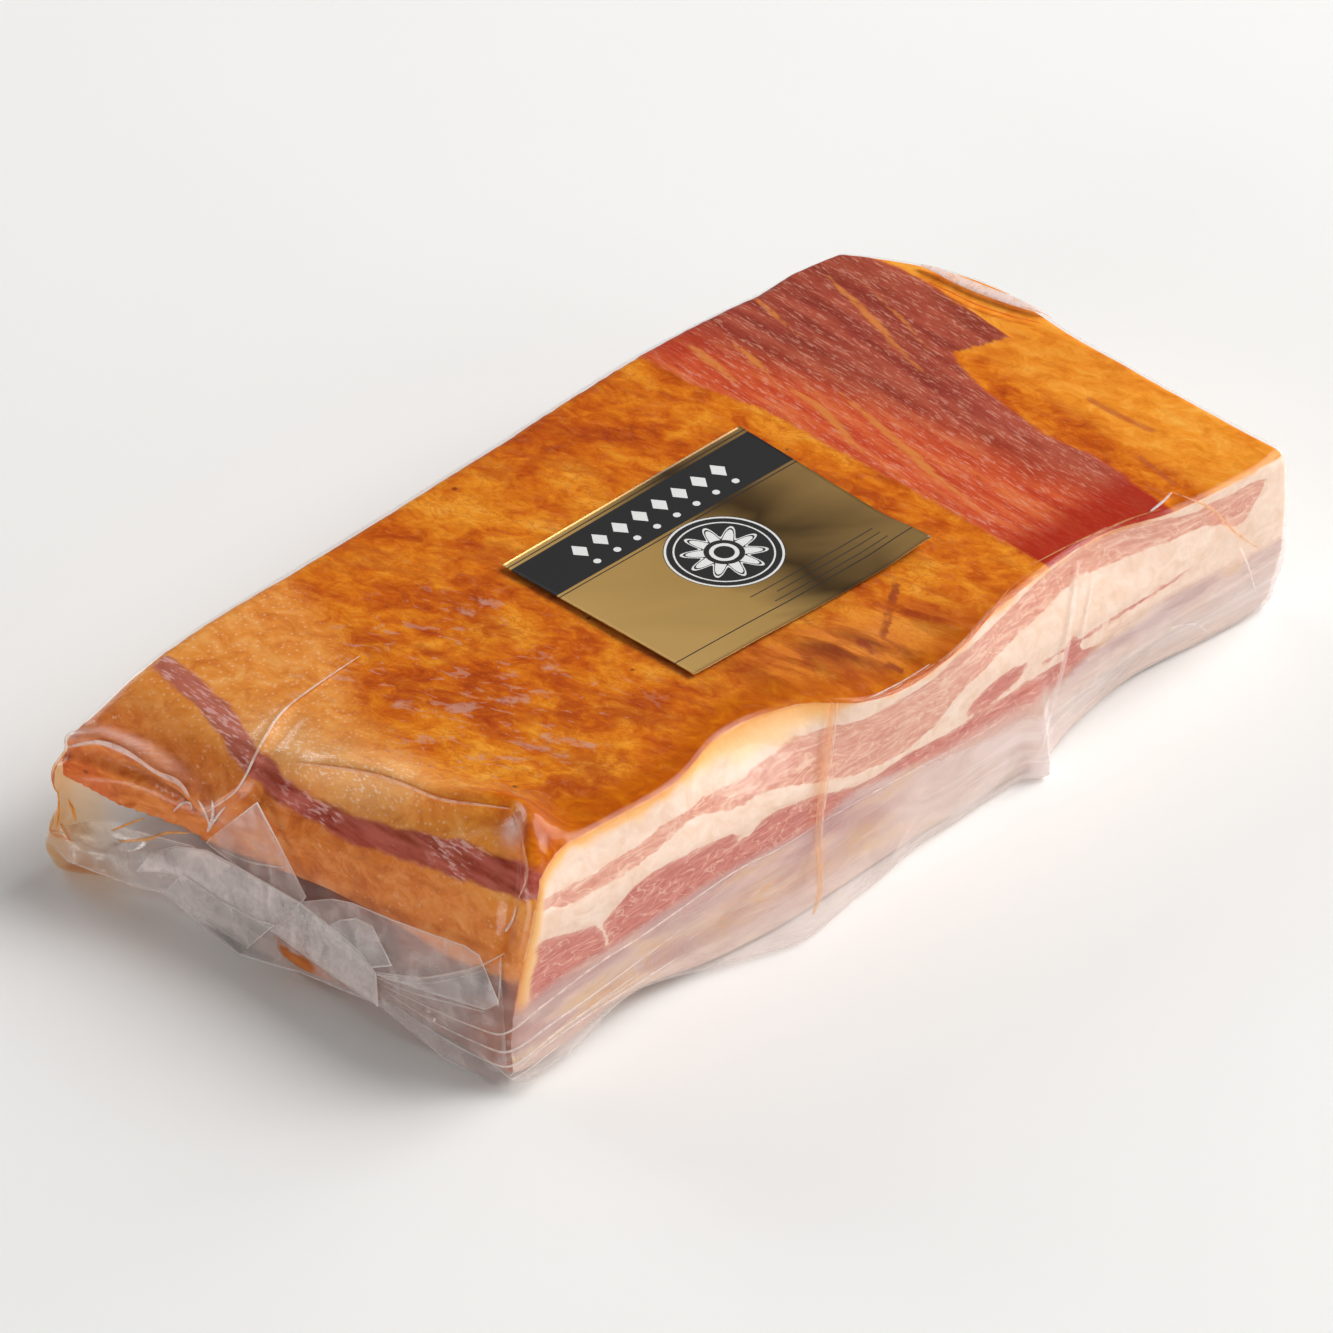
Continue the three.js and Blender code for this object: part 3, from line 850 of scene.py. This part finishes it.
def make_film():
    """The film that clings to the whole slab, as a closed shell just over it."""
    plain, half, points, faces = rounded_block(FILM_CELLS, loose=1.0, cut_radius=2.5)
    normal = normals_of(points, faces)
    x, y, z = (points + SHIFT).T
    cut = cut_distance(plain, half)
    below = through(HAZE_LINE, x) - z
    low = smooth(-1, 10, below) * smooth(0, 2, cut)
    pleats = 0.7 * noise(points, (15, 30, 40)) + 0.6 * noise(points, (70, 30, 6))
    push = 0.1 + end_relief(points + SHIFT) + 0.1 * fractal(points, 12) + low * pleats
    foot = through(END_FOOT, y)
    end = smooth(-104, -112, x) * smooth(-4, 6, foot - z)
    push += 0.9 * end * fractal(points, (9, 8, 5), 3) + 0.1 * smooth(-70, -104, x) * noise(points, 2.6)
    points = points + normal * push[:, None]
    points[:, 2] = np.maximum(points[:, 2], 0.02)
    haze = np.maximum.reduce([
        through(HAZE_AMOUNT, x) * smooth(-0.6, 0.6, below) * smooth(0, 1.5, cut),
        0.24 * end * smooth(50, 30, y),
        0.04 * smooth(-1, 2, cut),
        0.3 * bump(below, 1.2) * smooth(0, 1.5, cut),
    ])
    corner = smooth(-122, -130, x) * smooth(46, 56, y) * smooth(34, 28, z)
    broken = 0.75 + 0.5 * noise(points, 5)
    # Painted highlights: whiter film along the ridge's crest, on the lip's knob and at the crumpled knot,
    # where light catches those folds
    painted_highlights = np.maximum.reduce([
        0.8 * bump(off_line(points + SHIFT, np.array(RIDGE_LINE) + (0.6, 0, 1)), 1.7),
        1.0 * bump(np.linalg.norm(points + SHIFT - LIP_KNOB, axis=1), 3.2),
        0.5 * bump(np.linalg.norm(points + SHIFT - KNOT, axis=1), 3.5),
    ])
    haze = np.maximum.reduce([haze, 0.12 * corner, painted_highlights * broken])
    fields = {"haze": haze, "amber": 0.5 * corner}
    film = make_object("shrink_film", points, faces, body_film_material(), fields)
    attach(film, "root")
    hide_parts("sealed_pack")
    return points + SHIFT, faces


def run_of(line):
    """How far along a line of straight pieces each of its points is."""
    return np.concatenate([[0], np.cumsum(np.linalg.norm(np.diff(line, axis=0), axis=1))])


def resample(line, count):
    """Points at even steps along a line of straight pieces."""
    run = run_of(line)
    places = np.linspace(0, run[-1], count)
    return np.stack([np.interp(places, run, values) for values in zip(*line)], 1)


def curved(line, count):
    """Points along a smooth curve through a line's points."""
    run = run_of(line)
    places = np.linspace(0, run[-1], count)
    return np.stack([through(list(zip(run, values)), places) for values in zip(*line)], 1)


# Where the search for the left end starts along X, its rounds, and how high over the table film lies
LEFT_END_GUESS = -120
LEFT_END_ROUNDS = 8
OFF_TABLE = 0.3


def on_left_end(pixels, out):
    """Where the photo's pixels meet a surface at a distance out from the left end, or the table before it."""
    way = rays(pixels)
    x = np.full(len(way), float(LEFT_END_GUESS))
    for _ in range(LEFT_END_ROUNDS):
        far = (x - EYE[0]) / way[:, 0]
        y = EYE[1] + far * way[:, 1] - SHIFT[1]
        z = EYE[2] + far * way[:, 2]
        across = np.clip(2 * (y - CUT_FACE_Y) / (BACK_Y - CUT_FACE_Y) - 1, -1, 1)
        x = left_end(across, np.clip(z / HEIGHT, 0, 1)) + SHIFT[0] - out
    far = np.minimum((x - EYE[0]) / way[:, 0], (OFF_TABLE - EYE[2]) / way[:, 2])
    return EYE + way * far[:, None]


# The sheets' thickness, how far out they lie at least, and the way that their outer sides face
SHEET_THICK = 0.18
SHEET_LEAST_OUT = 0.25
SHEET_AWAY = np.array([-1, -0.25, 0.15])


def film_sheet(name, lower, upper, out, wave=0.5, frost=0.0, haze=0.1, cells=(90, 24), cut_ends=True):
    """A thin sheet of film over the left end between two lines, given in the photo's pixels."""
    along, rise = cells
    low, high = resample(lower, along + 1), resample(upper, along + 1)
    t = np.linspace(0, 1, rise + 1)
    pixels = (low[:, None] * (1 - t[:, None]) + high[:, None] * t[:, None]).reshape(-1, 2)
    s = np.repeat(np.linspace(0, 1, along + 1), rise + 1)
    t = np.tile(t, along + 1)
    first = on_left_end(pixels, 0)
    fade = np.ones_like(s) if cut_ends else smooth(0, 0.08, s) * smooth(1, 0.84, s)
    stand = (out + wave * fractal(first, (6, 7, 4), 3)) * fade
    outer = on_left_end(pixels, np.maximum(stand, SHEET_LEAST_OUT))
    inner = outer - SHEET_AWAY / np.linalg.norm(SHEET_AWAY) * SHEET_THICK
    index = np.arange(len(outer)).reshape(along + 1, rise + 1)
    top = np.stack([index[:-1, :-1], index[:-1, 1:], index[1:, 1:], index[1:, :-1]], -1).reshape(-1, 4)
    edge = np.concatenate([index[:-1, 0], index[-1, :-1], index[:0:-1, -1], index[0, :0:-1]])
    side = np.stack([edge, np.roll(edge, -1), np.roll(edge, -1) + len(outer), edge + len(outer)], -1)
    faces = np.concatenate([top, top[:, ::-1] + len(outer), side])
    rim_s = np.minimum(s, 1 - s) * along + (0 if cut_ends else 9)
    rim_t = np.minimum(t, 1 - t) * rise
    # The rim field marks the sheets' edges, where a highlight is painted
    rim = smooth(1.2, 0.4, np.minimum(rim_s, rim_t))
    frosted = frost * smooth(0, 0.1, np.minimum(t, 1 - t))
    fields = {"haze": haze * fade, "rim": rim * fade, "frost": frosted, "amber": np.zeros_like(s)}
    fields = {key: np.tile(values, 2) for key, values in fields.items()}
    sheet = make_object(name, np.concatenate([outer, inner]), faces, SHEET_FILM, fields, shift=False)
    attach(sheet, "root")
    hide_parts("sealed_pack")


def fold(line, normals, widths, sides=8):
    """A closed flat fold lying along points of a surface, thinning to nothing at its ends."""
    ahead = np.gradient(line, axis=0)
    side = np.cross(ahead, normals)
    side /= np.maximum(np.linalg.norm(side, axis=1, keepdims=True), 1e-6)
    turn = np.arange(sides) * 2 * math.pi / sides
    ring = np.cos(turn)[:, None, None] * side + 0.3 * np.sin(turn)[:, None, None] * normals
    points = (line + ring * widths[:, None]).transpose(1, 0, 2).reshape(-1, 3)
    i, k = np.meshgrid(np.arange(len(line) - 1), np.arange(sides), indexing="ij")
    a, b = i * sides + k, i * sides + (k + 1) % sides
    faces = np.stack([a, b, b + sides, a + sides], -1).reshape(-1, 4).tolist()
    faces.append(list(range(sides))[::-1])
    faces.append([(len(line) - 1) * sides + k for k in range(sides)])
    return points, faces


# The creases' points: how many at least, and the pixels from one to the next
CREASE_LEAST = 8
CREASE_STEP = 4

# A place on the film's far corner, for a crease whose line misses the film
LEFT_CORNER = np.array([-132, 62, 18])


def make_creases(film_points, film_faces):
    """Creases and pleats of the film: thin raised threads of it, along lines seen in the photo, milky and
    with painted highlights.
    """
    tree = BVHTree.FromPolygons(film_points.tolist(), film_faces.tolist())
    points, faces, haze, amber = [], [], [], []
    for pixels, radius, tint, strength in CREASES:
        count = max(CREASE_LEAST, round(2 + run_of(pixels)[-1] / CREASE_STEP))
        path = curved(pixels, count)
        ways = rays(path)
        hits = [tree.ray_cast(Vector(EYE), Vector(way))[:2] for way in ways]
        met = [k for k in range(count) if hits[k][0] is not None]
        for k in range(count):
            if hits[k][0] is None:
                neighbour = np.array(hits[min(met, key=lambda m: abs(m - k))][0]) if met else LEFT_CORNER
                beside = EYE + ways[k] * ((neighbour - EYE) @ ways[k])
                hits[k] = tree.find_nearest(Vector(beside))[:2]
        line, normals = (np.array([tuple(hit[k]) for hit in hits]) for k in (0, 1))
        # The normals are evened out twice, so that a thread doesn't twist
        for values in (line, normals, normals):
            values[1:-1] = (values[:-2] + 2 * values[1:-1] + values[2:]) / 4
        share = np.linspace(0, 1, count)
        widths = radius * np.maximum(np.sqrt(np.sin(np.pi * share).clip(0)), 0.1)
        new_points, new_faces = fold(line + normals * 0.2 * radius, normals, widths)
        first = sum(len(group) for group in points)
        points.append(new_points)
        faces += [[k + first for k in face] for face in new_faces]
        haze += [strength] * len(new_points)
        amber += [tint] * len(new_points)
    fields = {"haze": haze, "amber": amber}
    piece = make_object("film_creases", np.concatenate(points), faces, crease_material(), fields, shift=False)
    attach(piece, "root")
    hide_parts("sealed_pack")


# Creases by the photo's pixels, with the thread's radius in millimetres, its amber tint and how white it is,
# the fold's milkiness and a painted highlight along it
CREASES = [
    (
        [
            (360, 656), (318, 684), (284, 710), (268, 732), (254, 758), (246, 775), (234, 793), (206, 812),
        ],
        0.32, 0.12, 0.85,
    ),
    ([(294, 764), (337, 768), (378, 776), (404, 785), (440, 799), (483, 805), (512, 809)], 0.4, 0.35, 0.5),
    ([(68, 747), (98, 742), (128, 753), (158, 773), (179, 783), (190, 798)], 0.8, 0, 0.4),
    ([(513, 812), (521, 832), (524, 852), (527, 876), (516, 904)], 0.3, 0.3, 0.25),
    ([(516, 906), (513, 920), (505, 932)], 0.4, 0, 0.7),
    ([(198, 800), (205, 812), (211, 830)], 0.3, 0, 0.8),
    ([(212, 800), (213, 815), (207, 832)], 0.35, 0, 0.9),
    ([(226, 806), (216, 818), (208, 832)], 0.3, 0, 0.8),
    ([(173, 812), (184, 802), (192, 804), (190, 812)], 0.3, 0, 0.7),
    ([(222, 850), (250, 862), (285, 868)], 0.25, 0, 0.7),
    ([(36, 800), (38, 782), (48, 768), (56, 756), (62, 748)], 0.3, 0.7, 0.6),
    ([(40, 830), (41, 806), (47, 790), (50, 776), (55, 762)], 0.4, 1.0, 0.7),
    ([(44, 812), (53, 822), (44, 831)], 0.3, 0.9, 0.6),
    (
        [
            (380, 984), (430, 1008), (478, 1028), (504, 1034), (541, 1007), (596, 965), (640, 937),
            (686, 905), (734, 872), (780, 848), (817, 825),
        ],
        0.3, 0.05, 0.7,
    ),
    (
        [
            (384, 990), (430, 1020), (480, 1044), (508, 1052), (550, 1025), (620, 975), (680, 930),
        ],
        0.26, 0, 0.6,
    ),
    ([(390, 1002), (440, 1036), (490, 1062), (512, 1066), (560, 1030), (640, 972)], 0.28, 0, 0.6),
    ([(396, 1014), (444, 1050), (490, 1078), (512, 1080), (560, 1044)], 0.24, 0, 0.5),
    ([(817, 825), (860, 800), (900, 778), (960, 745), (1000, 722)], 0.18, 0, 0.4),
    ([(832, 702), (828, 740), (823, 780), (818, 830), (819, 893), (812, 915)], 1.2, 0.25, 0.22),
    ([(838, 702), (834, 740), (827, 790), (822, 830), (822, 880)], 0.2, 0.15, 0.7),
    ([(1078, 560), (1074, 600), (1064, 660), (1052, 705), (1042, 748)], 0.8, 0, 0.22),
    ([(1094, 575), (1088, 610), (1080, 650)], 0.4, 0, 0.22),
    (
        [
            (848, 703), (886, 693), (912, 677), (948, 655), (992, 610), (1012, 586), (1036, 570),
        ],
        0.26, 0.7, 0.35,
    ),
    ([(921, 266), (938, 272), (958, 281), (985, 292), (1020, 305), (1052, 317)], 1.8, 0, 1.0),
    ([(928, 282), (950, 292), (975, 304), (1010, 316), (1040, 323)], 0.35, 0.9, 0.35),
    ([(870, 698), (905, 680), (930, 664)], 0.22, 0.1, 0.8),
    ([(1030, 566), (1070, 545), (1100, 532), (1130, 519), (1162, 509)], 0.3, 0.7, 0.35),
    ([(1172, 492), (1190, 499), (1210, 508), (1235, 532), (1258, 548)], 0.3, 0.4, 0.5),
    ([(1150, 512), (1165, 500), (1172, 492)], 0.4, 0, 0.8),
    ([(1239, 545), (1248, 566), (1256, 594)], 0.3, 0, 0.7),
    ([(1170, 628), (1196, 624), (1209, 634)], 0.3, 0, 0.7),
    ([(372, 973), (393, 977), (423, 978), (454, 973), (480, 966), (505, 953)], 0.3, 0.25, 0.75),
    ([(376, 977), (400, 982), (430, 983), (462, 977), (490, 968)], 0.22, 0.1, 0.7),
    ([(501, 957), (500, 985), (498, 1008)], 0.25, 0, 0.55),
    ([(374, 976), (410, 992), (450, 1003), (484, 1012)], 0.2, 0, 0.6),
    ([(510, 1076), (540, 1050), (590, 1014), (640, 982), (680, 956)], 0.25, 0, 0.55),
    ([(516, 1068), (550, 1038), (600, 1003), (650, 972)], 0.18, 0, 0.45),
    ([(50.7, 771), (48, 780), (45, 789)], 0.6, 1.0, 0.7),
    ([(38, 800), (39, 783), (51, 770)], 0.3, 0.8, 0.5),
    ([(41.6, 816), (45, 829), (60, 831)], 0.3, 0.8, 0.6),
    ([(43, 831), (58, 836), (75, 841)], 0.35, 0.9, 0.6),
    ([(68, 798), (73, 809), (75.5, 821)], 0.4, 1.0, 0.7),
    ([(60, 823), (66, 832), (71, 841)], 0.3, 0.8, 0.5),
    ([(111, 831), (128, 824), (144, 818)], 0.28, 0.8, 0.7),
    ([(119.5, 841), (149, 839), (166, 833), (190, 833)], 0.4, 0.7, 0.8),
]

# Sheets of folded film on the left end, by the photo's pixels
SHEETS = {
    "film_foot": dict(
        lower=[
            (40, 834), (68, 862), (134, 887), (160, 893), (202, 922), (239, 955), (300, 973), (380, 1006),
            (444, 1059), (474, 1075), (508, 1091),
        ],
        upper=[
            (62, 826), (90, 822), (140, 832), (190, 845), (240, 868), (300, 902), (345, 935), (374, 972),
            (423, 978), (470, 970), (500, 962),
        ],
        out=1.6, wave=1.3, haze=0.14, cells=(220, 36), cut_ends=False,
    ),
    "film_weld": dict(
        lower=[
            (136, 872), (165, 872), (190, 880), (219, 899), (252, 918), (280, 938), (310, 960), (345, 985),
            (378, 1007),
        ],
        upper=[
            (150, 853), (175, 846), (207, 850), (240, 868), (270, 885), (300, 903), (335, 930), (360, 952),
            (376, 974),
        ],
        out=2.6, wave=0.5, frost=1.0, haze=0.14,
    ),
    "film_upper_ear": dict(
        lower=[(206, 843), (240, 870), (270, 889), (300, 905)],
        upper=[(210, 838), (257, 802), (276, 838), (306, 897)],
        out=2.0, wave=0.5, haze=0.12,
    ),
    "film_lower_ear": dict(
        lower=[(292, 912), (321, 932), (350, 955), (373, 974), (430, 993), (485, 1010), (498, 1004)],
        upper=[
            (300, 902), (332, 899), (352, 903), (393, 920), (434, 935), (465, 946), (479, 955), (498, 1002),
        ],
        out=2.2, wave=0.6, haze=0.14, cells=(110, 34),
    ),
    "film_ear_fold": dict(
        lower=[(325, 932), (345, 948), (372, 968), (392, 966)],
        upper=[(327, 926), (340, 920), (356, 918), (372, 926)],
        out=2.8, wave=0.4, haze=0.14, cells=(40, 24),
    ),
    "film_flap": dict(
        lower=[(164, 892), (188, 915), (214, 937), (239, 955)],
        upper=[(182, 874), (219, 900), (252, 918), (275, 925)],
        out=3.2, wave=0.3, haze=0.13, cells=(60, 30),
    ),
}


# The label

# Its print in millimetres across and down from its far left corner: the medallion's middle and radius, the
# black band and long rules by their two edges, the row of lozenges and beads, and the short rules by their
# upper edges and left ends
MEDALLION = (38.2, 32.0, 13.8)
BAND = (2.8, 17.6)
LONG_RULES = [(1.6, 1.95), (18.4, 18.75), (55.0, 55.35)]
LOZENGES = dict(down=8.8, step=6.25, left=12.5, right=62.5)
BEADS_DOWN = 14.4
SHORT_RULES = [(48.2, 30.0), (50.6, 36.0), (53.0, 33.0)]
SHORT_RULES_END = 69.0
SHORT_RULE_WIDTH = 0.4


def label_material():
    look = Look("foil_print")
    uv = look.add("TexCoord", output="UV")
    along = look.add("SeparateXYZ", uv)
    across = along * LABEL["width"]
    down = LABEL["depth"] - look.add("SeparateXYZ", uv, output=1) * LABEL["depth"]

    def between(value, low, high, soft=0.06):
        return look.step(value, low - soft, low + soft) * look.step(value, high + soft, high - soft)

    middle, middle_down, reach = MEDALLION
    dx = across - middle
    dy = down - middle_down
    radius = look.math("SQRT", dx * dx + dy * dy)
    petal_edge = 2.1 * look.math("COSINE", 10.0 * look.math("ARCTAN2", dy, dx)) + 8.0
    petal = look.step(petal_edge - radius, -0.1, 0.1) * look.step(radius, 4.6, 4.8)
    petal *= 1.0 - look.step(abs(petal_edge - radius - 1.0), 0.36, 0.26)
    rings = [(2.4, 3.4), (11.2, 11.6), (reach - 0.75, reach - 0.2)]
    white = look.largest(petal, *(between(radius, low, high) for low, high in rings))
    black = look.largest(*(between(down, low, high) for low, high in [BAND, *LONG_RULES]))
    black = look.largest(black, look.step(radius, reach + 0.05, reach - 0.05))

    # A row of plain lozenges and beads in the black band, and thin rules below the medallion
    cell = look.math("MODULO", across, LOZENGES["step"]) - LOZENGES["step"] / 2
    shown = between(across, LOZENGES["left"], LOZENGES["right"])
    lozenge = 0.5 * abs(cell) + 0.36 * abs(down - LOZENGES["down"])
    bead = look.math("SQRT", cell * cell + look.math("POWER", down - BEADS_DOWN, 2.0))
    row = look.largest(look.step(lozenge, 1.04, 0.98) * shown, look.step(bead, 0.95, 0.85) * shown)
    rules = look.largest(*(
        between(down, top, top + SHORT_RULE_WIDTH) * between(across, left, SHORT_RULES_END)
        for top, left in SHORT_RULES
    ))

    # Painted reflection: the foil's gold is light at the left, dark past the middle and lighter at the right
    # end, made uneven by noise
    sheen = look.noise((34, 16, 20), 0.5, detail=2, distortion=0.5)
    gold = look.ramp(0.8 * along + 0.4 * sheen, {
        0.2: (214, 172, 102), 0.48: (196, 156, 90), 0.72: (76, 55, 26), 0.98: (160, 126, 74),
    })
    ink = look.largest(black - white, 0.85 * rules)
    printed = look.mix(ink, gold, (42, 41, 42))
    printed = look.mix(look.largest(white * look.step(radius, 14.0, 13.9), row), printed, (226, 226, 224))
    metal = 0.4 - 0.4 * look.largest(black, rules, row)
    normal = look.bump(look.noise((18, 9, 9), 0.3, detail=2), 0.5, 0.4)
    surface = look.add("BsdfPrincipled", Base_Color=printed, Roughness=0.36, Metallic=metal, Normal=normal)
    return look.finish(surface)


# The foil's mesh, its gentle waves, and how far its near right corner and edge lift, in millimetres
LABEL_CELLS = (76, 62)
LABEL_WAVE = 0.12
LABEL_WAVE_SIZE = (16, 24, 9)
CORNER_LIFT = 1.3
EDGE_LIFT = 0.5


def make_label():
    along, across = LABEL_CELLS
    u, v = np.meshgrid(np.linspace(0, 1, along + 1), np.linspace(0, 1, across + 1), indexing="ij")
    u, v = u.ravel(), v.ravel()
    x = LABEL["x"] + (u - 0.5) * LABEL["width"]
    y = LABEL["y"] + (v - 0.5) * LABEL["depth"]
    lift = CORNER_LIFT * smooth(0.78, 1.0, u) * smooth(0.3, 0.0, v)
    lift += EDGE_LIFT * smooth(0.25, 0.0, v) * smooth(0.5, 0.9, u)
    wave = LABEL_WAVE * noise(np.stack([x, y, np.zeros_like(x)], 1), LABEL_WAVE_SIZE)
    z = top_height(x, y) + LABEL["gap"] + lift + wave
    top = np.stack([x, y, z + LABEL["thick"]], 1)
    bottom = np.stack([x, y, z], 1)
    count = len(top)
    index = np.arange(count).reshape(along + 1, across + 1)
    upper = np.stack([index[:-1, :-1], index[1:, :-1], index[1:, 1:], index[:-1, 1:]], -1).reshape(-1, 4)
    rim = np.concatenate([index[:-1, 0], index[-1, :-1], index[:0:-1, -1], index[0, :0:-1]])
    side = np.stack([rim, rim + count, np.roll(rim, -1) + count, np.roll(rim, -1)], -1)[:, ::-1]
    faces = np.concatenate([upper, upper[:, ::-1] + count, side])
    uv = np.stack([np.tile(u, 2), np.tile(v, 2)], 1)
    piece = make_object("foil_label", np.concatenate([top, bottom]), faces, label_material(), uv=uv)
    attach(piece, "root")
    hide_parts("label")


# Stage, light and camera

TABLE_REACH = 4.0


def make_stage():
    look = Look("pale_table")
    shade = look.mix(look.noise(90.0, detail=2), (238, 237, 234), (240, 239, 237))
    surface = look.add("BsdfPrincipled", Base_Color=shade, Roughness=0.6)
    corners = [(TABLE_REACH * x, TABLE_REACH * y, 0) for x, y in ((-1, -1), (1, -1), (1, 1), (-1, 1))]
    mesh = bpy.data.meshes.new("table")
    mesh.from_pydata(corners, [], [(0, 1, 2, 3)])
    mesh.materials.append(look.finish(surface))
    floor = bpy.data.objects.new("table", mesh)
    bpy.context.scene.collection.objects.link(floor)


# Soft lights round the pack by azimuth and elevation in degrees, with their power in watts
LIGHT_DISTANCE = 3.6
LIGHT_SIZE = 2.0
WORLD_COLOUR = (0.98, 0.99, 1.0, 1)
WORLD_STRENGTH = 0.08
LIGHTS = {
    "right": (346, 46, 60),
    "right_low": (0, 20, 32),
    "front_right": (322, 40, 74),
    "front_low": (285, 15, 22),
    "back": (90, 22, 40),
    "card": (195, 8, 74),
}


def add_light(name, azimuth, elevation, power):
    data = bpy.data.lights.new(name, "AREA")
    data.shape = "DISK"
    data.size = LIGHT_SIZE
    data.energy = power
    light = bpy.data.objects.new(name, data)
    turn, rise = math.radians(azimuth), math.radians(elevation)
    way = Vector((math.cos(turn) * math.cos(rise), math.sin(turn) * math.cos(rise), math.sin(rise)))
    light.location = way * LIGHT_DISTANCE
    light.rotation_euler = (-light.location).to_track_quat("-Z", "Y").to_euler()
    bpy.context.scene.collection.objects.link(light)


def make_lights():
    world = bpy.data.worlds.new("studio")
    world.use_nodes = True
    background = world.node_tree.nodes["Background"]
    background.inputs["Color"].default_value = WORLD_COLOUR
    background.inputs["Strength"].default_value = WORLD_STRENGTH
    bpy.context.scene.world = world
    for name, (azimuth, elevation, power) in LIGHTS.items():
        add_light(name, azimuth, elevation, power)


bpy.context.scene.view_settings.view_transform = "Standard"
make_stage()
make_lights()
make_camera()
make_meat()
film_surface = make_film()
SHEET_FILM = sheet_film_material()
for sheet_name, sheet in SHEETS.items():
    film_sheet(sheet_name, **sheet)
make_creases(*film_surface)
make_label()
